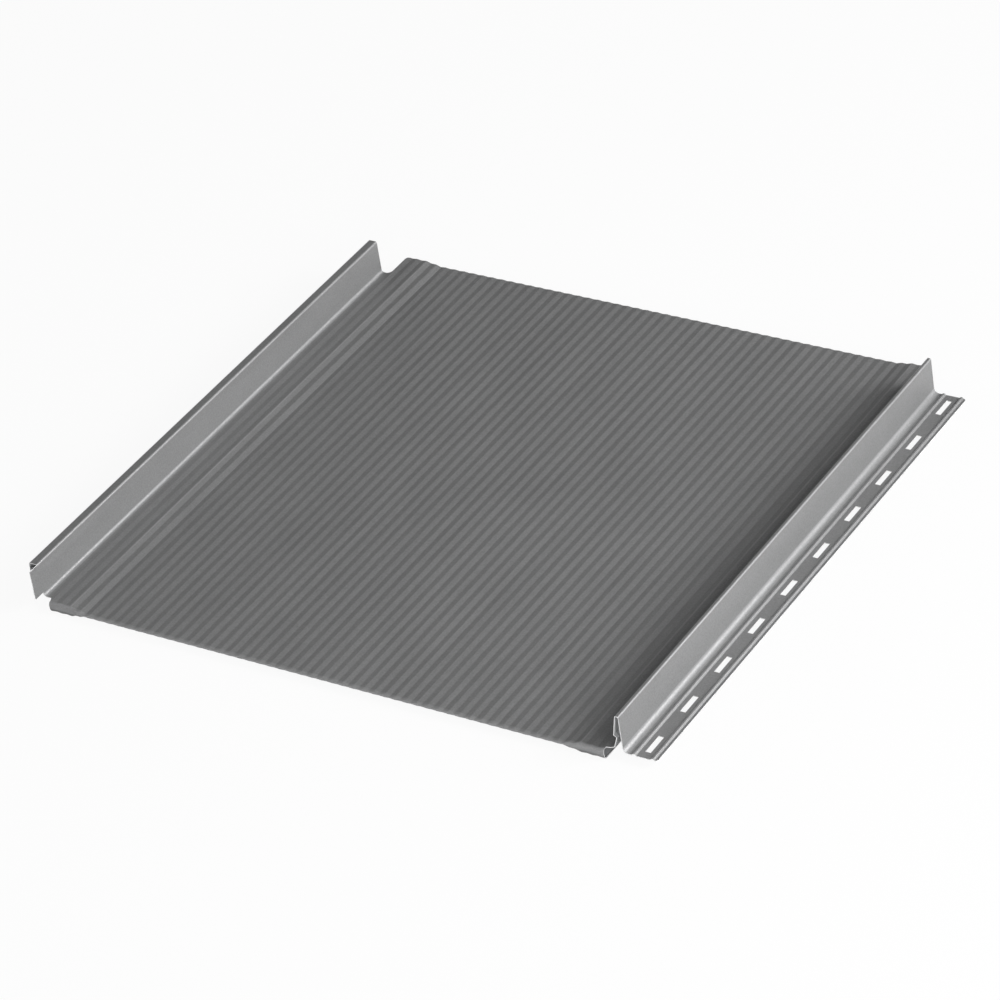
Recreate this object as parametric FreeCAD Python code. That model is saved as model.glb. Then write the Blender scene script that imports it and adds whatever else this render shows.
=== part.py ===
import FreeCAD, Part
import math
import os

# Standing seam roof panel, a short length, roll formed from one coated steel sheet.
# X runs across the panel from the covering seam to the screw flange, Y along the seams,
# Z up. Sizes are in millimetres. Levels are counted from the deck, the plane that the
# valleys of the pan and the screw flange lie on, and across sizes from the web of the
# covering seam.

# Sheet
sheet = 0.6                  # thickness of the coated steel
cover_width = 515.5          # web of the covering seam to the outer wall of the under seam

# Lengths along the seams
seam_length = 482.9          # both seams and the screw flange
eaves_reach = 7.0            # the folded edge stands in front of the seams' near ends
ridge_reach = 26.4           # the pan runs on behind the seams' far ends

# Covering seam: a channel, open below, that clips over the next panel's under seam
cover_seam_height = 33.0     # top of the channel above the deck
cover_seam_width = 8.1       # outside, at the top
cover_bend = 0.9             # inner radius of its two top bends
web_bend = 2.6               # inner radius of the bend from web to pan
lip_spread = 0.3             # the outer lip leans out by this on its way down
lip_drop = 16.5              # top of the channel down to where the lip turns in
hook_drop = 4.2              # height of the turned in part of the lip
hook_depth = 1.6             # how far it turns in
hook_bend = 1.5              # inner radius of the lip's two turns
flare_drop = 3.0             # height of the flared edge below it
flare_out = 1.6              # how far the edge flares out again

# Under seam: a closed rib with a snap edge on its pan side
under_seam_height = 32.4     # top of the rib above the deck
under_seam_tip = 3.3         # width of the tip
tip_bend = 0.5               # inner radius of the tip's two bends
snap_level = 14.4            # level of the snap edge above the deck
snap_width = 6.6             # width of the rib at the snap edge
waist_level = 13.1           # level of the waist below the snap edge
waist_width = 4.1            # width of the rib at the waist
foot_width = 7.4             # width of the rib where it meets the pan
foot_bend = 2.0              # inner radius of the bend from pan to rib
snap_bend = 0.6              # inner radius at the snap edge and at the waist
flange_bend = 4.3            # radius of the hollow between the rib and the flange

# Screw flange
flange_width = 27.7          # outer wall of the rib to the free edge
flange_corner = 2.5          # rounding of the flange's two free corners
bead_height = 1.1            # height of the two stiffening beads
bead_width = 3.7             # width of a bead at its foot
bead_crest = 1.0             # width of a bead's flat crest
bead_bend = 0.8              # radius at a bead's feet and shoulders
inner_bead = 8.4             # outer wall of the rib to the crest of the inner bead
edge_strip = 4.0             # crest of the outer bead to the free edge

# Screw slots, square ended
slot_pitch = 50.0
slot_length = 19.4
slot_width = 4.5
slot_line = 7.9              # crest of the inner bead to the middle of the slots
slot_margin = 12.0           # least length of flange beyond the middle of an end slot

# Pan: fine waves with straight flanks, from seam to seam on one even spacing
first_valley = 4.4           # covering seam's web to the first valley
wave_pitch = 9.283
wave_height = 0.6            # valley to crest
wave_bend = 3.0              # radius of crests, valleys and steps
raise_height = 2.6           # the strips beside the seams stand this far above the field
strip_flanks = 5             # wave flanks on a strip, counted from its first valley
step_flanks = 3              # a step takes the place of this many: ramp, ledge halfway, ramp

# Folded edge at the near end
hem_length = 25.0            # depth of the leaf folded back under the pan
hem_gap = 0.3                # least distance between pan and leaf
leaf_raise = 4.3             # the leaf's own strips stand this far off its field, downwards
hem_nose = 2.0               # length of the rounded nose that joins them
hem_left = 8.3               # covering seam's web to the left end of the folded edge
hem_right = 13.0             # under seam's outer wall to its right end

# Tongue at the far end and the cut corners
tongue_right = 16.5          # under seam's outer wall to the tongue's right side
tongue_corner = 3.5          # rounding of the tongue's two free corners
tongue_notch = 4.0           # rounding of the notches beside the tongue
hem_notch = 0.8              # rounding of the notches beside the folded edge
hem_slant = 1.9              # its left side leans out by this towards the seams' ends
web_relief = 0.2             # the pan beside the web is cut back from the seams' end
corner_cut = 2.0             # slope of the near corner beside the under seam

# Tab: the web of the covering seam carried forward past the channel's near end
tab_foot = 6.8               # level of its lower edge above the deck
tab_drop = 0.3               # its upper edge lies this far below the channel's top
tab_reach = 9.9              # length of its upper edge
tab_foot_reach = 10.4        # length of its lower edge

# Derived levels and places
half = sheet / 2
valley_level = half
field_level = valley_level + wave_height / 2
strip_level = field_level + raise_height
web_x = -half
wall_x = cover_width - half
slot_count = int((seam_length - 2 * slot_margin) / slot_pitch) + 1
near_y = -(seam_length - (slot_count - 1) * slot_pitch) / 2
far_y = near_y + seam_length
front_y = near_y - eaves_reach
nose_y = front_y + hem_nose
tongue_y = far_y + ridge_reach
flange_end_x = cover_width + flange_width
hem_start_x = hem_left
hem_end_x = cover_width - hem_right
tongue_end_x = cover_width - tongue_right
fold_level = -hem_gap / 2


def unit(a, b):
    """Direction from a to b in the section plane, and the distance."""
    dx, dz = b[0] - a[0], b[1] - a[1]
    length = math.hypot(dx, dz)
    return (dx / length, dz / length), length


def centre_line(points):
    """Lines and tangent arcs through corner points (x, z, bend radius, 0 for a sharp one).

    Returns runs: ("line", start, end) or ("arc", start, end, centre, radius, turn).
    """
    runs = []
    start = points[0][:2]
    for before, corner, after in zip(points, points[1:], points[2:]):
        (ax, az), _ = unit(before, corner)
        (bx, bz), _ = unit(corner, after)
        turn = math.atan2(ax * bz - az * bx, ax * bx + az * bz)
        radius = corner[2]
        if radius == 0:
            runs.append(("line", start, corner[:2]))
            start = corner[:2]
            continue
        cut = radius * math.tan(abs(turn) / 2)
        entry = (corner[0] - ax * cut, corner[1] - az * cut)
        leave = (corner[0] + bx * cut, corner[1] + bz * cut)
        side = 1 if turn > 0 else -1
        centre = (entry[0] - az * radius * side, entry[1] + ax * radius * side)
        if math.dist(start, entry) > 1e-6:
            runs.append(("line", start, entry))
        runs.append(("arc", entry, leave, centre, radius, turn))
        start = leave
    runs.append(("line", start, points[-1][:2]))
    return runs


def vec(point, y=0.0):
    return FreeCAD.Vector(point[0], y, point[1])


def shifted(runs, offset, upright=False):
    """The edges of the centre line moved sideways by offset, to the left of its travel.

    With upright, the two free ends stay straight above or below those of the centre line.
    """
    edges = []
    for run in runs:
        if run[0] == "line":
            (dx, dz), _ = unit(run[1], run[2])
            a = (run[1][0] - dz * offset, run[1][1] + dx * offset)
            b = (run[2][0] - dz * offset, run[2][1] + dx * offset)
            if upright and run is runs[0]:
                a = (run[1][0], run[1][1] + offset / dx)
            if upright and run is runs[-1]:
                b = (run[2][0], run[2][1] + offset / dx)
            edges.append(Part.LineSegment(vec(a), vec(b)).toShape())
            continue
        _, entry, leave, centre, radius, turn = run
        side = 1 if turn > 0 else -1
        new_radius = radius - side * offset
        angle = math.atan2(entry[1] - centre[1], entry[0] - centre[0])
        spots = [
            (centre[0] + new_radius * math.cos(angle + part * turn),
             centre[1] + new_radius * math.sin(angle + part * turn))
            for part in (0.0, 0.5, 1.0)
        ]
        edges.append(Part.Arc(*[vec(s) for s in spots]).toShape())
    return edges


def ribbon(points, upright=False):
    """The face of a sheet whose middle follows the corner points."""
    runs = centre_line(points)
    top = shifted(runs, half, upright)
    bottom = shifted(runs, -half, upright)
    caps = []
    for a, b in ((top[0], bottom[0]), (top[-1], bottom[-1])):
        index = 0 if a is top[0] else 1
        caps.append(Part.LineSegment(end_of(a, index), end_of(b, index)).toShape())
    wire = Part.Wire(Part.__sortEdges__(top + bottom + caps))
    return Part.Face(wire)


def end_of(edge, index):
    """First or last point of an edge in its direction of travel."""
    return edge.valueAt(edge.FirstParameter if index == 0 else edge.LastParameter)


def wave_corner(index, count, raised):
    """Centre line corner of the pan: valleys are even, crests odd, out of count flanks."""
    x = first_valley + index * wave_pitch / 2
    from_seam = min(index, count - index)
    if strip_flanks < from_seam < strip_flanks + step_flanks:
        return (x, field_level + raised / 2, wave_bend)
    level = field_level + (raised if from_seam <= strip_flanks else 0)
    side = 1 if index % 2 else -1
    return (x, level + side * wave_height / 2, wave_bend)


def pan_corners(raised=raise_height):
    """Corner points of the pan from its first valley to its last, with raised strips."""
    count = 2 * int((cover_width - foot_width - first_valley) / wave_pitch)
    return [wave_corner(index, count, raised) for index in range(count + 1)]


def pan_points(low, high, raised):
    """Corner points of the pan between x = low and x = high, with end points on both."""
    corners = pan_corners(raised)
    points = [corner for corner in corners if low < corner[0] < high]
    ends = []
    for x in (low, high):
        for a, b in zip(corners, corners[1:]):
            if a[0] <= x <= b[0]:
                share = (x - a[0]) / (b[0] - a[0])
                ends.append((x, a[1] + share * (b[1] - a[1]), 0.0))
                break
    return ends[:1] + points + ends[1:]


def covering_seam_points():
    """Corner points of the covering seam, from the flared edge of its lip to the pan."""
    top = cover_seam_height - half
    lip_x = sheet - cover_seam_width - half
    turn_x = lip_x - lip_spread
    turn_z = cover_seam_height - lip_drop
    bend = cover_bend + half
    turn = hook_bend + half
    return [
        (turn_x + hook_depth - flare_out, turn_z - hook_drop - flare_drop, 0.0),
        (turn_x + hook_depth, turn_z - hook_drop, turn),
        (turn_x, turn_z, turn),
        (lip_x, top, bend),
        (web_x, top, bend),
        (web_x, strip_level, web_bend + half),
    ]


def under_seam_points():
    """Corner points of the under seam and the screw flange, from the pan to the edge."""
    top = under_seam_height - half
    outer = cover_width
    points = [
        (outer - foot_width + half, strip_level, foot_bend + half),
        (outer - waist_width + half, waist_level, snap_bend + half),
        (outer - snap_width + half, snap_level, snap_bend + half),
        (outer - under_seam_tip + half, top, tip_bend + half),
        (wall_x, top, tip_bend + half),
        (wall_x, half, flange_bend + half),
    ]
    for crest in (inner_bead, flange_width - edge_strip):
        points += bead_points(outer + crest)
    points.append((outer + flange_width, half, 0.0))
    return points


def bead_points(crest):
    """Foot, two shoulders and foot of one stiffening bead of the flange."""
    return [
        (crest - bead_width / 2, half, bead_bend),
        (crest - bead_crest / 2, half + bead_height, bead_bend),
        (crest + bead_crest / 2, half + bead_height, bead_bend),
        (crest + bead_width / 2, half, bead_bend),
    ]


def along_y(face, low, high):
    """The section face carried along the seams from y = low to y = high."""
    face = face.copy()
    face.translate(FreeCAD.Vector(0, low, 0))
    return face.extrude(FreeCAD.Vector(0, high - low, 0))


def formed_sheet():
    """Section of the whole panel, rolled over the full length of the pan."""
    points = covering_seam_points() + pan_corners() + under_seam_points()
    return along_y(ribbon(points), nose_y, tongue_y)


def plan_outline():
    """An upright body over the panel's outline in plan: the seams, the pan's folded edge
    in front of them and its tongue behind them."""
    left = -cover_seam_width - hook_depth
    shoulder = cover_width - foot_width
    corners = [
        (left, near_y, 0.0),
        (0.0, near_y, 0.0),
        (web_bend, near_y + web_relief, 0.0),
        (hem_start_x - hem_slant, near_y + web_relief, hem_notch),
        (hem_start_x, nose_y, 0.0),
        (hem_end_x, nose_y, 0.0),
        (hem_end_x, near_y - corner_cut, hem_notch),
        (shoulder, near_y, 0.0),
        (flange_end_x, near_y, flange_corner),
        (flange_end_x, far_y, flange_corner),
        (tongue_end_x, far_y, tongue_notch),
        (tongue_end_x, tongue_y, tongue_corner),
        (hem_start_x, tongue_y, tongue_corner),
        (hem_start_x, far_y, tongue_notch),
        (left, far_y, 0.0),
        (left, near_y, 0.0),
    ]
    face = Part.Face(Part.Wire(shifted(centre_line(corners), 0.0)))
    face.rotate(FreeCAD.Vector(), FreeCAD.Vector(1, 0, 0), -90)
    face.translate(FreeCAD.Vector(0, 0, -sheet))
    highest = max(cover_seam_height, under_seam_height)
    return face.extrude(FreeCAD.Vector(0, 0, highest + 2 * sheet))


# Poles of a quarter circle: way forward, height and weight
QUARTER = ((0.0, 1.0, 1.0), (1.0, 1.0, math.sqrt(0.5)), (1.0, 0.0, 1.0))


def nose_row(point, depth):
    """The quarter ellipse that carries a point of the pan's section down to the fold."""
    height = point.z - fold_level
    return [FreeCAD.Vector(point.x, nose_y - depth * way, fold_level + height * up)
            for way, up, _ in QUARTER]


def nose_patch(edge, depth):
    """The edge of the pan's section turned down round the nose, as an exact surface."""
    curve = edge.Curve.toBSpline(edge.FirstParameter, edge.LastParameter)
    poles = [nose_row(pole, depth) for pole in curve.getPoles()]
    weights = [[weight * quarter[2] for quarter in QUARTER] for weight in curve.getWeights()]
    surface = Part.BSplineSurface()
    surface.buildFromPolesMultsKnots(
        poles, curve.getMultiplicities(), [3, 3], curve.getKnots(), [0.0, 1.0],
        False, False, curve.Degree, 2, weights)
    return surface.toShape()


def nose_curve(point, depth):
    curve = Part.BSplineCurve()
    curve.buildFromPolesMultsKnots(
        nose_row(point, depth), [3, 3], [0.0, 1.0], False, 2,
        [quarter[2] for quarter in QUARTER])
    return curve.toShape()


def line(a, b):
    return Part.LineSegment(a, b).toShape()


def nose_cap(outer, inner):
    """The flat end of the nose's upper half, between an outer and an inner point."""
    front = nose_row(outer, hem_nose)[-1]
    back = nose_row(inner, hem_nose - sheet)[-1]
    return Part.Face(Part.Wire([
        nose_curve(outer, hem_nose), line(front, back),
        nose_curve(inner, hem_nose - sheet), line(inner, outer)]))


def nose_half(points):
    """Upper half of the rounded nose: from the pan's front end down to the fold's middle."""
    runs = centre_line(points)
    top = shifted(runs, half, upright=True)
    bottom = shifted(runs, -half, upright=True)
    faces = [nose_patch(edge, hem_nose) for edge in top]
    faces += [nose_patch(edge, hem_nose - sheet) for edge in bottom]
    ends = [(end_of(top[i], i), end_of(bottom[i], i)) for i in (0, -1)]
    moved = FreeCAD.Vector(0, nose_y, 0)
    faces += [nose_cap(outer + moved, inner + moved) for outer, inner in ends]
    behind = ribbon(points, upright=True)
    behind.translate(moved)
    faces.append(behind)
    rims = [[nose_row(spot, depth)[-1] for spot, depth in zip(pair, (hem_nose, hem_nose - sheet))]
            for pair in ends]
    (a, b), (d, c) = rims
    faces.append(Part.Face(Part.makePolygon([a, b, c, d, a])))
    shell = Part.Shell(faces)
    shell.sewShape()
    solid = Part.Solid(Part.Shell(shell.Faces))
    if solid.Volume < 0:
        solid.reverse()
    return solid


def folded_edge():
    """Rounded nose and lower leaf of the near edge: the pan's waves mirrored below it."""
    upper = pan_points(hem_start_x, hem_end_x, raise_height)
    lower = pan_points(hem_start_x, hem_end_x, leaf_raise)
    leaf = along_y(ribbon(lower, upright=True), nose_y, front_y + hem_length)
    fold = FreeCAD.Vector(0, 0, fold_level)
    below = [body.mirror(fold, FreeCAD.Vector(0, 0, 1)) for body in (nose_half(lower), leaf)]
    return nose_half(upper).fuse(below)


def closing_tab():
    """The tab in front of the covering seam, in the plane of its web."""
    top = cover_seam_height - tab_drop
    side = [
        (near_y, top), (near_y - tab_reach, top),
        (near_y - tab_foot_reach, tab_foot), (near_y, tab_foot), (near_y, top),
    ]
    outline = [FreeCAD.Vector(-sheet, y, z) for y, z in side]
    return Part.Face(Part.makePolygon(outline)).extrude(FreeCAD.Vector(sheet, 0, 0))


def slots():
    """The row of square ended screw slots through the flange."""
    middle = cover_width + inner_bead + slot_line
    bodies = []
    for index in range(slot_count):
        corner = FreeCAD.Vector(
            middle - slot_width / 2, index * slot_pitch - slot_length / 2, -sheet)
        bodies.append(Part.makeBox(slot_width, slot_length, 3 * sheet, corner))
    return bodies


def panel():
    body = formed_sheet()
    body = body.common(plan_outline()).cut(slots())
    body = body.fuse([folded_edge(), closing_tab()])
    body = body.removeSplitter()
    box = body.BoundBox
    body.translate(FreeCAD.Vector(
        -(box.XMin + box.XMax) / 2, -(box.YMin + box.YMax) / 2, -box.ZMin))
    return body


os.makedirs("parts", exist_ok=True)
roof_panel = panel()
roof_panel.exportStep("parts/roof_panel.step")
box = roof_panel.BoundBox
print("solids", len(roof_panel.Solids), "valid", roof_panel.isValid(),
      "faces", len(roof_panel.Faces), "volume", round(roof_panel.Volume, 1))
print("size", round(box.XLength, 2), round(box.YLength, 2), round(box.ZLength, 2))
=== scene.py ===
import math

import bmesh
import bpy
import numpy as np
from mathutils import Matrix, Vector
from mathutils.kdtree import KDTree


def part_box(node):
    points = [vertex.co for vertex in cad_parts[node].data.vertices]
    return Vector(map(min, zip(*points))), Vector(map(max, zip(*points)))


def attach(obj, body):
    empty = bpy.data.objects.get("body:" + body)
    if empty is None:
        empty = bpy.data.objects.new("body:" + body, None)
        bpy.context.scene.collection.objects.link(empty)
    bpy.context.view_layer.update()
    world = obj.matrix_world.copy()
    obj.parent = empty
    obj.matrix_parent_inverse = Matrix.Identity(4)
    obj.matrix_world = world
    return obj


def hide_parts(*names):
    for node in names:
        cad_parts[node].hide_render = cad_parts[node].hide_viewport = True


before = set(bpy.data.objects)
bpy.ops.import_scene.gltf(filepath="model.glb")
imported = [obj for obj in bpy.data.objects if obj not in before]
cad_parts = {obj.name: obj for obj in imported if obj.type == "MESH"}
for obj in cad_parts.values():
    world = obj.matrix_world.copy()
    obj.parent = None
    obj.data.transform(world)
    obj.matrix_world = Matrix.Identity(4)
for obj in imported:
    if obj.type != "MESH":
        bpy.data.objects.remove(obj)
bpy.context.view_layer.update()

# The panel's sizes in millimetres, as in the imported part. X runs across the panel from the
# web of the covering seam, Y along the seams from the first slot, Z up from the deck.
SHEET = 0.6
HALF = SHEET / 2
COVER_WIDTH = 515.5
NEAR_Y, FAR_Y = -16.45, 466.45        # ends of the seams
FRONT_Y, TONGUE_Y = -23.45, 492.85    # nose of the folded edge, end of the tongue

# Covering seam
COVER_TOP, COVER_OUTSIDE = 33.0, 8.1
LIP_DEPTH, LIP_LEAN = 16.5, 0.3       # bend at the lip's end below the top, and its lean
HOOK_IN, HOOK_DROP = 1.6, 4.2         # turned in hook, from the bend at the lip's end
FLARE_DROP = 7.2                      # free edge below the same bend
HOOK_BEND, TOP_BEND, WEB_BEND = 1.8, 1.2, 2.9
TAB = [(NEAR_Y, 32.7), (NEAR_Y - 9.9, 32.7), (NEAR_Y - 10.4, 6.8), (NEAR_Y, 6.8)]
TAB_EASE = 0.16                       # rounding of the tab's edges
TAB_FOOT = 6.0                        # the web's end is plain above this level

# Under seam and flange; the rib's places are measured back from its outer wall
RIB_TOP, RIB_TIP = 32.4, 3.3
RIB_FOOT, FOOT_BEND = 7.1, 2.3
WAIST_BACK, WAIST_LEVEL = 3.8, 13.1
SNAP_BACK, SNAP_LEVEL = 6.3, 14.4
SNAP_BEND, TIP_BEND, FLANGE_BEND = 0.9, 0.8, 4.6
FLANGE_END = COVER_WIDTH + 27.7
BEADS = COVER_WIDTH + 8.4, FLANGE_END - 4.0
BEAD_FOOT, BEAD_CREST, BEAD_HEIGHT, BEAD_BEND = 1.85, 0.5, 1.1, 0.8
SLOT_COUNT, SLOT_X, SLOT_PITCH = 10, COVER_WIDTH + 16.3, 50.0
SLOT_LENGTH, SLOT_WIDTH = 19.4, 4.5

# Pan: levels of the field of waves, of the small ledges and of the strips beside the seams
FIELD, LEDGE, STRIP = 0.6, 1.9, 3.2
FIRST_VALLEY, WAVE_PITCH, WAVE_HEIGHT, WAVE_BEND = 4.4, 9.283, 0.6, 3.0
FLANKS, STRIP_FLANKS, STEP_FLANKS = 108, 5, 3

# Folded edge and tongue
HEM_START, HEM_END = 8.3, COVER_WIDTH - 13.0
HEM_LENGTH, FOLD_LEVEL = 25.0, -0.15
LEAF_EXTRA = 1.7                      # the leaf's strips are this much deeper than the pan's
NOSE_LENGTH, NOSE_BACK = 2.0, 0.9     # nose in the field; how far a strip's nose stands back
NOSE_EXTRA = 1.0                      # a strip's nose is this much longer
NOSE_PARTS, NOSE_POWER = 16, 2 / 2.3  # the nose is a slightly squared round
WELD_Y = FRONT_Y + 3.9                # the pan and the folded edge are joined on this line
TONGUE_END = COVER_WIDTH - 16.5
TONGUE_NOTCH, TONGUE_CORNER, FLANGE_CORNER = 4.0, 3.5, 2.5    # roundings in plan
RELIEF, RELIEF_START = 0.2, 2.6       # the pan beside the web is cut back from the seams' end
HEM_SLANT, HEM_NOTCH = 1.9, 0.8       # lean and rounding of the notches by the folded edge
CORNER_CUT, SHOULDER = 2.0, COVER_WIDTH - 7.4    # slanted cut to the rib's foot

PAINT, CUT, BACK = 0, 1, 2            # material slots: weather side, cut edges, back coat
BENT_ANGLE = math.radians(25)         # a sharper bend than this gets a painted highlight (a lighter paint), less roughness and more relief
SMALL_BEND = 1.0                      # a hollow bend up to this radius stays plain
SMOOTH_ANGLE = math.radians(30)
BENT_ABOVE, BENT_BELOW = 3.5, 1.0     # its reach on the folded edge, above and below the fold
WORN_RIM = 1.0                        # width of the worn line along the sheared ends
TOUCH = 0.01                          # places this close are taken as the same

# Dark and light colours: paint, paint on sharp bends (lighter, a painted highlight), worn rims,
# cut edges, back coat
PAINT_DARK, PAINT_LIGHT = (0.151, 0.152, 0.153), (0.259, 0.26, 0.261)
BEND_HIGHLIGHT_DARK, BEND_HIGHLIGHT_LIGHT = (0.31, 0.31, 0.315), (0.41, 0.41, 0.415)
WORN_DARK, WORN_LIGHT = (0.42, 0.43, 0.44), (0.56, 0.57, 0.58)
EDGE_DARK, EDGE_LIGHT = (0.62, 0.62, 0.63), (0.9, 0.9, 0.9)
BACK_DARK, BACK_LIGHT = (0.265, 0.27, 0.275), (0.355, 0.36, 0.365)

# Camera of the photograph: degrees, metres, and a lens in millimetres on a 36 mm sensor
AZIMUTH, ELEVATION, ROLL = 36.943, 34.341, -9.578
TARGET = Vector((0.003627, -0.01873, 0.01193))
DISTANCE = 3.656
LENS, SENSOR = 171.57, 36.0

# Studio: the floor's own light is for the camera only, and the sky is bright at the horizon
FLOOR_GLOW, FLOOR_PAINT, FLOOR_SIZE = 0.93, 0.6, 20
SKY_TOP, SKY_START, SKY_END = 0.1, 0.02, 0.08
LAMP_AWAY, LAMP_SHARE = 3.6, 1 / 2.4  # a lamp's side is this share of its distance
LAMPS = [                             # name, azimuth, elevation, power, distance
    ("key_front", -62, 18, 84, LAMP_AWAY),
    ("key_middle", -24, 18, 53, LAMP_AWAY),
    ("key_back", 22, 17, 46, LAMP_AWAY),
    ("key_right", 15, 30, 72, LAMP_AWAY),
    ("fill_right", 10, 40, 23, 2.2),
    ("fill_back", 80, 30, 9, LAMP_AWAY),
    ("fill_left", -150, 35, 14, LAMP_AWAY),
    ("fill_far", 165, 22, 7, LAMP_AWAY),
]


def pan_corners():
    """Crests, valleys and steps of the pan as (x, z, radius), seam to seam."""
    corners = []
    for index in range(FLANKS + 1):
        from_seam = min(index, FLANKS - index)
        level = STRIP if from_seam <= STRIP_FLANKS else FIELD
        swing = WAVE_HEIGHT / 2 if index % 2 else -WAVE_HEIGHT / 2
        if STRIP_FLANKS < from_seam < STRIP_FLANKS + STEP_FLANKS:
            level, swing = LEDGE, 0.0
        corners.append((FIRST_VALLEY + index * WAVE_PITCH / 2, level + swing, WAVE_BEND))
    return corners


def pan_side(x):
    """Column (x, z, 0, stretch) of the pan where a side of the folded edge cuts a flank."""
    corners = pan_corners()
    for a, b in zip(corners, corners[1:]):
        if a[0] <= x <= b[0]:
            rise, run = b[1] - a[1], b[0] - a[0]
            return (x, a[1] + rise * (x - a[0]) / run, 0.0, math.hypot(rise, run) / run)


def bead_corners(crest):
    """Foot, two shoulders and foot of one stiffening bead of the flange."""
    return [(crest - BEAD_FOOT, HALF, BEAD_BEND),
            (crest - BEAD_CREST, HALF + BEAD_HEIGHT, BEAD_BEND),
            (crest + BEAD_CREST, HALF + BEAD_HEIGHT, BEAD_BEND),
            (crest + BEAD_FOOT, HALF, BEAD_BEND)]


def section_corners():
    """Corners (x, z, bend radius) of the sheet's middle, from the lip to the flange's edge."""
    lip = SHEET - COVER_OUTSIDE - HALF
    end = lip - LIP_LEAN
    low = COVER_TOP - LIP_DEPTH
    wall = COVER_WIDTH - HALF
    corners = [
        (end, low - FLARE_DROP, 0),
        (end + HOOK_IN, low - HOOK_DROP, HOOK_BEND),
        (end, low, HOOK_BEND),
        (lip, COVER_TOP - HALF, TOP_BEND),
        (-HALF, COVER_TOP - HALF, TOP_BEND),
        (-HALF, STRIP, WEB_BEND)]
    corners += pan_corners()
    corners += [
        (COVER_WIDTH - RIB_FOOT, STRIP, FOOT_BEND),
        (COVER_WIDTH - WAIST_BACK, WAIST_LEVEL, SNAP_BEND),
        (COVER_WIDTH - SNAP_BACK, SNAP_LEVEL, SNAP_BEND),
        (COVER_WIDTH - RIB_TIP + HALF, RIB_TOP - HALF, TIP_BEND),
        (wall, RIB_TOP - HALF, TIP_BEND),
        (wall, HALF, FLANGE_BEND)]
    for crest in BEADS:
        corners += bead_corners(crest)
    return corners + [(FLANGE_END, HALF, 0)]


def bend(before, corner, after):
    """The turn at a corner, its two tangent points and a function for points on its arc."""
    here = Vector(corner[:2])
    a = (here - Vector(before[:2])).normalized()
    b = (Vector(after[:2]) - here).normalized()
    turn = math.atan2(a.x * b.y - a.y * b.x, a.dot(b))
    radius = corner[2]
    cut = radius * math.tan(abs(turn) / 2)
    side = 1 if turn > 0 else -1
    entry, leave = here - a * cut, here + b * cut
    centre = entry + Vector((-a.y, a.x)) * radius * side
    heading = math.atan2(a.y, a.x)

    def at(share):
        """Point and normal of the arc at a share of its turn."""
        angle = heading + turn * share
        normal = Vector((-math.sin(angle), math.cos(angle)))
        return centre - normal * radius * side, normal

    return turn, entry, leave, at


def arc_parts(turn, step):
    """How many straight parts an arc takes, each of at most step degrees."""
    return max(2, math.ceil(abs(math.degrees(turn)) / step))


def sampled(corners, step=6.0, guard=0.3):
    """Points (x, z, normal x, normal z, bent) along lines and tangent arcs.

    bent is 1 on the sharp bends, where the paint is made lighter as a painted highlight; small
    hollow bends, such as the feet of the beads, stay plain. Guard points close to each bend keep
    the flats' shading flat.
    """
    spots = []

    def straight(a, b):
        length = math.dist(a, b)
        if length < 1e-6:
            return
        dx, dz = (b[0] - a[0]) / length, (b[1] - a[1]) / length
        marks = [0.0, length] if length < 3 * guard else [0.0, guard, length - guard, length]
        spots.extend((a[0] + dx * m, a[1] + dz * m, -dz, dx, 0.0) for m in marks)

    start = corners[0][:2]
    for before, corner, after in zip(corners, corners[1:], corners[2:]):
        turn, entry, leave, at = bend(before, corner, after)
        straight(start, tuple(entry))
        bent = float(abs(turn) > BENT_ANGLE and (turn < 0 or corner[2] > SMALL_BEND))
        count = arc_parts(turn, step)
        for i in range(count + 1):
            spot, normal = at(i / count)
            spots.append((spot.x, spot.y, normal.x, normal.y, bent))
        start = tuple(leave)
    straight(start, corners[-1][:2])
    kept = [spots[0]]
    for spot in spots[1:]:
        if math.dist(spot[:2], kept[-1][:2]) > 1e-4:
            kept.append(spot)
    return np.array(kept)


def rounded_outline(corners, step=12.0):
    """Closed plan outline (x, y) from corners (x, y, rounding)."""
    outline = []
    for before, corner, after in zip(corners[-1:] + corners, corners, corners[1:] + corners):
        if not corner[2]:
            outline.append(corner[:2])
            continue
        turn, _, _, at = bend(before, corner, after)
        count = arc_parts(turn, step)
        outline += [tuple(at(i / count)[0]) for i in range(count + 1)]
    return outline


def prism(outline, low, high):
    """Vertices and faces of an upright body over a plan outline."""
    n = len(outline)
    verts = [(x, y, low) for x, y in outline] + [(x, y, high) for x, y in outline]
    faces = [tuple(reversed(range(n))), tuple(range(n, 2 * n))]
    faces += [(i, (i + 1) % n, (i + 1) % n + n, i + n) for i in range(n)]
    return verts, faces


def mesh_object(name, verts, faces, materials):
    mesh = bpy.data.meshes.new(name)
    mesh.from_pydata(verts, [], faces)
    mesh.update()
    for material in materials:
        mesh.materials.append(material)
    obj = bpy.data.objects.new(name, mesh)
    bpy.context.collection.objects.link(obj)
    return obj


def outward(obj):
    bm = bmesh.new()
    bm.from_mesh(obj.data)
    bmesh.ops.recalc_face_normals(bm, faces=bm.faces)
    bm.to_mesh(obj.data)
    bm.free()


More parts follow.
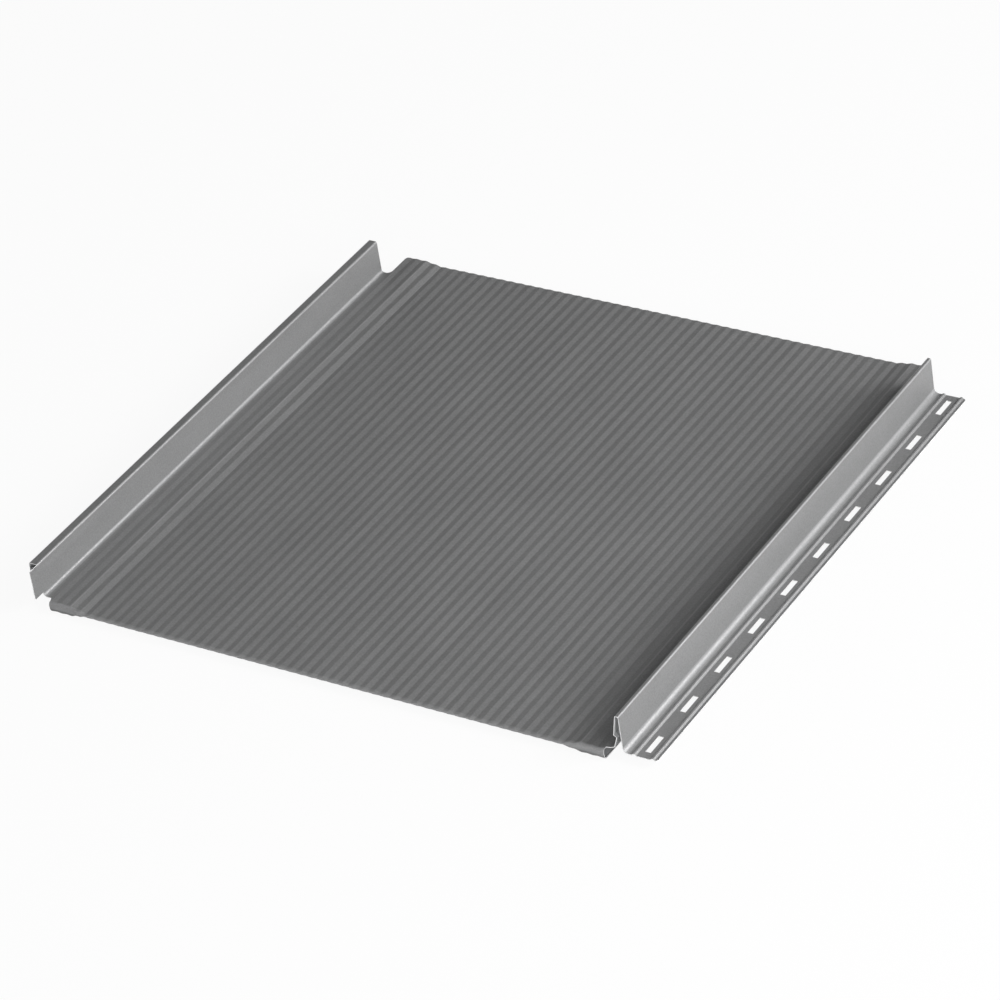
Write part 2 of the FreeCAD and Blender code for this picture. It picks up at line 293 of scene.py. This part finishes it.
def rolled_sheet(spots, near, far, materials):
    """The section as a sheet of real thickness; its ends and edges take the cut material."""
    n = len(spots)
    top = spots[:, :2] + spots[:, 2:4] * HALF
    under = spots[:, :2] - spots[:, 2:4] * HALF
    verts = [(x, y, z) for side in (top, under) for y in (near, far) for x, z in side]
    tn, tf, un, uf = 0, n, 2 * n, 3 * n    # first vertex of: top near, top far, under near, far
    faces, cut = [], []
    for i in range(n - 1):
        faces.append((tn + i, tn + i + 1, tf + i + 1, tf + i))
        faces.append((un + i, uf + i, uf + i + 1, un + i + 1))
        cut.append((tn + i, un + i, un + i + 1, tn + i + 1))
        cut.append((tf + i, tf + i + 1, uf + i + 1, uf + i))
    for i in (0, n - 1):
        cut.append((tn + i, tf + i, uf + i, un + i))
    obj = mesh_object("coated_panel", verts, faces + cut, materials)
    sides = [PAINT, BACK] * (n - 1)
    obj.data.polygons.foreach_set("material_index", sides + [CUT] * len(cut))
    outward(obj)
    return obj


def plan_corners():
    """The panel's outline in plan: seams, folded edge in front of them, tongue behind."""
    left, reach = -14.0, FRONT_Y - 10      # both are well clear of the sheet
    return [
        (left, NEAR_Y, 0), (0.0, NEAR_Y, 0), (RELIEF_START, NEAR_Y + RELIEF, 0),
        (HEM_START - HEM_SLANT, NEAR_Y + RELIEF, HEM_NOTCH),
        (HEM_START, WELD_Y, 0), (HEM_START, reach, 0), (HEM_END, reach, 0),
        (HEM_END, NEAR_Y - CORNER_CUT, HEM_NOTCH), (SHOULDER, NEAR_Y, 0),
        (FLANGE_END, NEAR_Y, FLANGE_CORNER), (FLANGE_END, FAR_Y, FLANGE_CORNER),
        (TONGUE_END, FAR_Y, TONGUE_NOTCH), (TONGUE_END, TONGUE_Y, TONGUE_CORNER),
        (HEM_START, TONGUE_Y, TONGUE_CORNER), (HEM_START, FAR_Y, TONGUE_NOTCH),
        (left, FAR_Y, 0)]


def cut_with(obj, verts, faces, operation, material):
    tool = mesh_object("cutter", verts, faces, [material])
    outward(tool)
    modifier = obj.modifiers.new("cut", "BOOLEAN")
    modifier.operation = operation
    modifier.solver = "EXACT"
    modifier.material_mode = "TRANSFER"
    modifier.object = tool
    bpy.context.view_layer.update()
    made = bpy.data.meshes.new_from_object(
        obj.evaluated_get(bpy.context.evaluated_depsgraph_get()))
    obj.modifiers.clear()
    obj.data = made
    bpy.data.objects.remove(tool)


def slot_bodies():
    verts, faces = [], []
    for index in range(SLOT_COUNT):
        y = index * SLOT_PITCH
        outline = [(SLOT_X + a * SLOT_WIDTH / 2, y + b * SLOT_LENGTH / 2)
                   for a, b in ((-1, -1), (1, -1), (1, 1), (-1, 1))]
        v, f = prism(outline, -1.0, 2.0)
        faces += [tuple(k + len(verts) for k in face) for face in f]
        verts += v
    return verts, faces


def strip_share(x):
    """1 on the strips beside the seams, 0.5 on the small ledges, 0 in the field of waves."""
    places = [FIRST_VALLEY + (STRIP_FLANKS + k) * WAVE_PITCH / 2 for k in range(4)]
    far = FIRST_VALLEY * 2 + FLANKS * WAVE_PITCH / 2
    return float(np.interp(x, places + [far - p for p in reversed(places)],
                           [1, 0.5, 0.5, 0, 0, 0.5, 0.5, 1]))


def hem_profile(top, under, share):
    """Lines (y, z) round the folded edge at one place across: weather side, then inner side."""
    length = NOSE_LENGTH + NOSE_EXTRA * share
    start = FRONT_Y + NOSE_BACK * share + length
    leaf_end = FRONT_Y + HEM_LENGTH
    deeper = LEAF_EXTRA * share

    def side(level, depth):
        rise = level - FOLD_LEVEL
        line = [(WELD_Y, level)]
        for k in range(NOSE_PARTS + 1):
            angle = math.pi / 2 - math.pi * k / NOSE_PARTS
            c, s = math.cos(angle), math.sin(angle)
            height = rise if s > 0 else rise + deeper
            line.append((start - depth * abs(c) ** NOSE_POWER,
                         FOLD_LEVEL + math.copysign(height * abs(s) ** NOSE_POWER, s)))
        return line + [(leaf_end, 2 * FOLD_LEVEL - level - deeper)]

    return side(top, length), side(under, length - SHEET)


def folded_edge(spots, bm):
    """Adds the rounded nose and the lower leaf to bm, column by column of the section."""
    keep = (spots[:, 0] > HEM_START + 1e-3) & (spots[:, 0] < HEM_END - 1e-3) & (spots[:, 1] < 4)
    columns = [pan_side(HEM_START)] + [tuple(s[:4]) for s in spots[keep]]
    columns += [pan_side(HEM_END)]
    rings = []
    for x, z, nx, nz in columns:
        outer, inner = hem_profile(z + nz * HALF, z - nz * HALF, strip_share(x))
        a = [bm.verts.new((x + nx * HALF, y, h)) for y, h in outer]
        b = [bm.verts.new((x - nx * HALF, y, h)) for y, h in inner]
        rings.append((a, b))
    for (a, b), (c, d) in zip(rings, rings[1:]):
        for k in range(len(a) - 1):
            bm.faces.new((a[k], a[k + 1], c[k + 1], c[k])).material_index = PAINT
            bm.faces.new((b[k], d[k], d[k + 1], b[k + 1])).material_index = BACK
        bm.faces.new((a[-1], b[-1], d[-1], c[-1])).material_index = CUT
    for a, b in (rings[0], rings[-1]):
        for k in range(len(a) - 1):
            bm.faces.new((a[k], b[k], b[k + 1], a[k + 1])).material_index = CUT


def closing_tab(bm):
    """The tab in front of the covering seam, in the plane of its web, with eased edges."""
    ease = TAB_EASE
    inset = [(0.0, -ease), (ease, -ease), (ease, ease), (0.0, ease)]
    loops = []
    for x, share in ((0.0, 1), (-ease, 0), (ease - SHEET, 0), (-SHEET, 1)):
        loops.append([bm.verts.new((x, y + a * share, z + b * share))
                      for (y, z), (a, b) in zip(TAB, inset)])
    bm.faces.new(loops[0]).material_index = PAINT
    bm.faces.new(loops[-1]).material_index = BACK
    for one, two in zip(loops, loops[1:]):
        for k in range(3):
            bm.faces.new((one[k], one[k + 1], two[k + 1], two[k])).material_index = CUT


def mark_wear(bm, spots):
    """Point values for the materials: bent on sharp bends for their painted highlight, rim along
    the sheared ends.
    """
    for y in (NEAR_Y + WORN_RIM, FAR_Y - WORN_RIM, TONGUE_Y - WORN_RIM):
        everything = bm.verts[:] + bm.edges[:] + bm.faces[:]
        bmesh.ops.bisect_plane(bm, geom=everything, plane_co=(0, y, 0), plane_no=(0, 1, 0))
    bent = bm.verts.layers.float.new("bent")
    rim = bm.verts.layers.float.new("rim")
    tree = KDTree(len(spots))
    for i, spot in enumerate(spots):
        tree.insert((spot[0], spot[1], 0), i)
    tree.balance()
    for vert in bm.verts:
        x, y, z = vert.co
        behind_tab = y < NEAR_Y + TOUCH and abs(x + HALF) < SHEET and z > TAB_FOOT
        if behind_tab:
            vert[bent] = 0.0
        elif y < WELD_Y - 0.1 or z < 0:
            # the nose of the folded edge also gets the bends' painted highlight
            nose_end = FRONT_Y + (BENT_ABOVE if z > 0 else BENT_BELOW)
            vert[bent] = float(x > HALF and y < nose_end)
        else:
            vert[bent] = spots[tree.find((x, z, 0))[1]][4]
        on_end = min(abs(y - end) for end in (NEAR_Y, FAR_Y, TONGUE_Y)) < TOUCH
        vert[rim] = float(on_end and not behind_tab)


def panel(materials):
    spots = sampled(section_corners())
    obj = rolled_sheet(spots, WELD_Y, TONGUE_Y + 5, materials)
    plan = prism(rounded_outline(plan_corners()), -2.0, 36.0)
    cut_with(obj, *plan, "INTERSECT", materials[CUT])
    cut_with(obj, *slot_bodies(), "DIFFERENCE", materials[CUT])
    bm = bmesh.new()
    bm.from_mesh(obj.data)
    weld = [f for f in bm.faces if all(abs(v.co.y - WELD_Y) < 1e-3 for v in f.verts)]
    bmesh.ops.delete(bm, geom=weld, context="FACES")
    folded_edge(spots, bm)
    closing_tab(bm)
    bmesh.ops.remove_doubles(bm, verts=bm.verts, dist=2e-3)
    bmesh.ops.recalc_face_normals(bm, faces=bm.faces)
    mark_wear(bm, spots)
    for edge in bm.edges:
        edge.smooth = len(edge.link_faces) == 2 and edge.calc_face_angle(0.0) < SMOOTH_ANGLE
    for face in bm.faces:
        face.smooth = True
    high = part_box("roof_panel")[1]
    shift = Vector((high.x * 1000 - FLANGE_END, high.y * 1000 - TONGUE_Y,
                    high.z * 1000 - COVER_TOP))
    bmesh.ops.translate(bm, verts=bm.verts, vec=shift)
    bmesh.ops.scale(bm, verts=bm.verts, vec=(0.001, 0.001, 0.001))
    bm.to_mesh(obj.data)
    bm.free()
    return obj


class Nodes:
    """A principled material and short ways to add nodes to it; lengths are in millimetres."""

    def __init__(self, name, roughness, metallic):
        self.material = bpy.data.materials.new(name)
        self.material.use_nodes = True
        self.tree = self.material.node_tree
        self.shader = self.tree.nodes["Principled BSDF"]
        self.shader.inputs["Roughness"].default_value = roughness
        self.shader.inputs["Metallic"].default_value = metallic
        self.coords = self.tree.nodes.new("ShaderNodeTexCoord").outputs["Object"]

    def link(self, source, target):
        self.tree.links.new(source, target)

    def noise(self, size, detail=2.0, roughness=0.5):
        """Noise of about 0 to 1 whose grain is size (x, y, z) millimetres."""
        mapping = self.tree.nodes.new("ShaderNodeMapping")
        mapping.inputs["Scale"].default_value = [1000.0 / s for s in size]
        texture = self.tree.nodes.new("ShaderNodeTexNoise")
        texture.inputs["Scale"].default_value = 1.0
        texture.inputs["Detail"].default_value = detail
        texture.inputs["Roughness"].default_value = roughness
        self.link(self.coords, mapping.inputs["Vector"])
        self.link(mapping.outputs[0], texture.inputs["Vector"])
        return texture.outputs["Fac"]

    def spread(self, value, low, high, start=0.3, end=0.7):
        """value from start to end is carried to low to high."""
        node = self.tree.nodes.new("ShaderNodeMapRange")
        for name, number in (("From Min", start), ("From Max", end),
                             ("To Min", low), ("To Max", high)):
            node.inputs[name].default_value = number
        self.link(value, node.inputs["Value"])
        return node.outputs["Result"]

    def math(self, operation, a, b):
        node = self.tree.nodes.new("ShaderNodeMath")
        node.operation = operation
        for socket, value in zip(node.inputs, (a, b)):
            if isinstance(value, (int, float)):
                socket.default_value = value
            else:
                self.link(value, socket)
        return node.outputs[0]

    def attribute(self, name):
        node = self.tree.nodes.new("ShaderNodeAttribute")
        node.attribute_name = name
        return node.outputs["Fac"]

    def tone(self, value, dark, light):
        """Colour from dark at 0 to light at 1."""
        ramp = self.tree.nodes.new("ShaderNodeValToRGB")
        for element, colour in zip(ramp.color_ramp.elements, (dark, light)):
            element.color = (*colour, 1.0)
        self.link(value, ramp.inputs["Fac"])
        return ramp.outputs["Color"]

    def blend(self, share, first, second):
        mix = self.tree.nodes.new("ShaderNodeMix")
        mix.data_type = "RGBA"
        self.link(share, mix.inputs["Factor"])
        self.link(first, mix.inputs["A"])
        self.link(second, mix.inputs["B"])
        return mix.outputs["Result"]

    def bump(self, height, depth):
        """Relief of height 0 to 1, depth millimetres deep."""
        node = self.tree.nodes.new("ShaderNodeBump")
        node.inputs["Distance"].default_value = depth / 1000.0
        self.link(height, node.inputs["Height"])
        self.link(node.outputs["Normal"], self.shader.inputs["Normal"])


def coated_sheet():
    """Weather side: grey coil coating with a fine metallic grain and a low sheen, painted
    lighter on sharp bends as a painted highlight.
    """
    m = Nodes("coated_steel_paint", 0.55, 0.5)
    grain = m.noise((1.2, 1.2, 1.2), 3.0, 0.7)
    mottle = m.noise((38.0, 60.0, 38.0), 3.0)
    streak = m.noise((2.2, 260.0, 2.2), 3.0, 0.6)
    tone = m.math("ADD", m.spread(grain, 0.0, 0.78, 0.25, 0.75), m.spread(mottle, 0.0, 0.12))
    tone = m.math("ADD", tone, m.spread(streak, 0.0, 0.1))
    # painted highlight: on sharp bends the paint blends to a lighter grey that stands in for the
    # sheen along them
    bent = m.attribute("bent")
    bend_highlight_share = m.math("MULTIPLY", bent, m.spread(streak, 0.34, 0.46))
    coat = m.blend(bend_highlight_share, m.tone(tone, PAINT_DARK, PAINT_LIGHT),
                   m.tone(tone, BEND_HIGHLIGHT_DARK, BEND_HIGHLIGHT_LIGHT))
    chips = m.spread(m.noise((1.6, 1.6, 1.6), 4.0, 0.7), 0.0, 0.7, 0.5, 0.72)
    worn = m.math("MULTIPLY", m.attribute("rim"), chips)
    bare = m.tone(grain, WORN_DARK, WORN_LIGHT)
    m.link(m.blend(worn, coat, bare), m.shader.inputs["Base Color"])
    rough = m.spread(streak, 0.50, 0.58)
    rough = m.math("ADD", rough, m.spread(grain, -0.03, 0.03, 0.25, 0.75))
    rough = m.math("ADD", rough, m.spread(m.noise((90.0, 140.0, 90.0), 4.0, 0.6), -0.03, 0.03))
    rough = m.math("SUBTRACT", rough, m.math("MULTIPLY", bent, 0.09))
    m.link(rough, m.shader.inputs["Roughness"])
    peel = m.spread(m.noise((2.4, 4.0, 2.4), 2.0), 0.0, 1.0)
    relief = m.math("ADD", peel, m.math("MULTIPLY", grain, 0.5))
    stretch = m.math("ADD", m.math("MULTIPLY", bent, 0.8), 1.0)
    m.bump(m.math("MULTIPLY", relief, stretch), 0.014)
    return m.material


def cut_edge():
    """Sheared edge: bright zinc and steel with fine upright shear marks and dull spots."""
    m = Nodes("coated_steel_cut_edge", 0.42, 0.6)
    shear = m.noise((0.25, 0.25, 2.0), 3.0, 0.6)
    spots = m.noise((3.0, 3.0, 3.0), 4.0, 0.6)
    tone = m.math("ADD", m.spread(shear, 0.0, 0.6), m.spread(spots, 0.0, 0.4, 0.35, 0.65))
    m.link(m.tone(tone, EDGE_DARK, EDGE_LIGHT), m.shader.inputs["Base Color"])
    m.link(m.spread(shear, 0.36, 0.5), m.shader.inputs["Roughness"])
    m.bump(shear, 0.02)
    return m.material


def back_coat():
    """Underside: thin matt primer, paler than the weather side, with rub marks from the coil."""
    m = Nodes("coated_steel_back_coat", 0.6, 0.0)
    grain = m.noise((0.8, 0.8, 0.8), 3.0, 0.65)
    rubs = m.noise((5.0, 180.0, 5.0), 4.0, 0.65)
    cloud = m.noise((60.0, 90.0, 60.0), 3.0)
    tone = m.math("ADD", m.spread(grain, 0.0, 0.4), m.spread(rubs, 0.0, 0.3))
    tone = m.math("ADD", tone, m.spread(cloud, 0.0, 0.3))
    m.link(m.tone(tone, BACK_DARK, BACK_LIGHT), m.shader.inputs["Base Color"])
    m.link(m.spread(rubs, 0.54, 0.68), m.shader.inputs["Roughness"])
    m.bump(grain, 0.008)
    return m.material


def photo_camera():
    azimuth, elevation = math.radians(AZIMUTH), math.radians(ELEVATION)
    forward = Vector((-math.sin(azimuth) * math.cos(elevation),
                      math.cos(azimuth) * math.cos(elevation),
                      -math.sin(elevation)))
    right = Vector((math.cos(azimuth), math.sin(azimuth), 0.0))
    up = right.cross(forward)
    turn = Matrix((right, up, -forward)).transposed() @ Matrix.Rotation(
        math.radians(ROLL), 3, "Z")
    data = bpy.data.cameras.new("photo_camera")
    data.sensor_width = SENSOR
    data.lens = LENS
    data.clip_end = 50.0
    camera = bpy.data.objects.new("photo_camera", data)
    bpy.context.collection.objects.link(camera)
    camera.matrix_world = Matrix.Translation(TARGET - forward * DISTANCE) @ turn.to_4x4()
    bpy.context.scene.camera = camera


def softbox(name, azimuth, elevation, power, away):
    """A soft square lamp that faces the origin; azimuth in degrees from +X towards +Y."""
    a, e = math.radians(azimuth), math.radians(elevation)
    place = Vector((away * math.cos(e) * math.cos(a), away * math.cos(e) * math.sin(a),
                    away * math.sin(e)))
    data = bpy.data.lights.new(name, "AREA")
    data.shape = "RECTANGLE"
    data.size = data.size_y = away * LAMP_SHARE
    data.energy = power
    lamp = bpy.data.objects.new(name, data)
    bpy.context.collection.objects.link(lamp)
    lamp.location = place
    lamp.rotation_euler = (-place).to_track_quat("-Z", "Y").to_euler()


def pale_floor():
    """A floor that glows plainly for the camera and takes the panel's shadow."""
    bpy.ops.mesh.primitive_plane_add(size=FLOOR_SIZE, location=(0, 0, 0))
    floor = bpy.context.object
    floor.name = "floor"
    material = bpy.data.materials.new("floor_white")
    material.use_nodes = True
    tree = material.node_tree
    tree.nodes.clear()
    out = tree.nodes.new("ShaderNodeOutputMaterial")
    mix = tree.nodes.new("ShaderNodeMixShader")
    share = tree.nodes.new("ShaderNodeMath")
    share.operation = "MULTIPLY"
    share.inputs[1].default_value = FLOOR_GLOW
    path = tree.nodes.new("ShaderNodeLightPath")
    paint = tree.nodes.new("ShaderNodeBsdfDiffuse")
    paint.inputs["Color"].default_value = (FLOOR_PAINT, FLOOR_PAINT, FLOOR_PAINT, 1)
    glow = tree.nodes.new("ShaderNodeEmission")
    glow.inputs["Strength"].default_value = 1.0
    tree.links.new(path.outputs["Is Camera Ray"], share.inputs[0])
    tree.links.new(share.outputs[0], mix.inputs[0])
    tree.links.new(paint.outputs[0], mix.inputs[1])
    tree.links.new(glow.outputs[0], mix.inputs[2])
    tree.links.new(mix.outputs[0], out.inputs[0])
    floor.data.materials.append(material)


def sky():
    world = bpy.data.worlds.new("studio")
    bpy.context.scene.world = world
    world.use_nodes = True
    tree = world.node_tree
    back = tree.nodes["Background"]
    coords = tree.nodes.new("ShaderNodeTexCoord")
    split = tree.nodes.new("ShaderNodeSeparateXYZ")
    ramp = tree.nodes.new("ShaderNodeValToRGB")
    low, high = ramp.color_ramp.elements
    low.position, high.position = SKY_START, SKY_END
    low.color = (1, 1, 1, 1)
    high.color = (SKY_TOP, SKY_TOP, SKY_TOP, 1)
    tree.links.new(coords.outputs["Generated"], split.inputs[0])
    tree.links.new(split.outputs["Z"], ramp.inputs[0])
    tree.links.new(ramp.outputs[0], back.inputs["Color"])
    back.inputs["Strength"].default_value = 1.0


sheet_piece = panel([coated_sheet(), cut_edge(), back_coat()])
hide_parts("roof_panel")
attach(sheet_piece, "root")

photo_camera()
pale_floor()
sky()
for lamp in LAMPS:
    softbox(*lamp)

bpy.context.scene.view_settings.view_transform = "Standard"
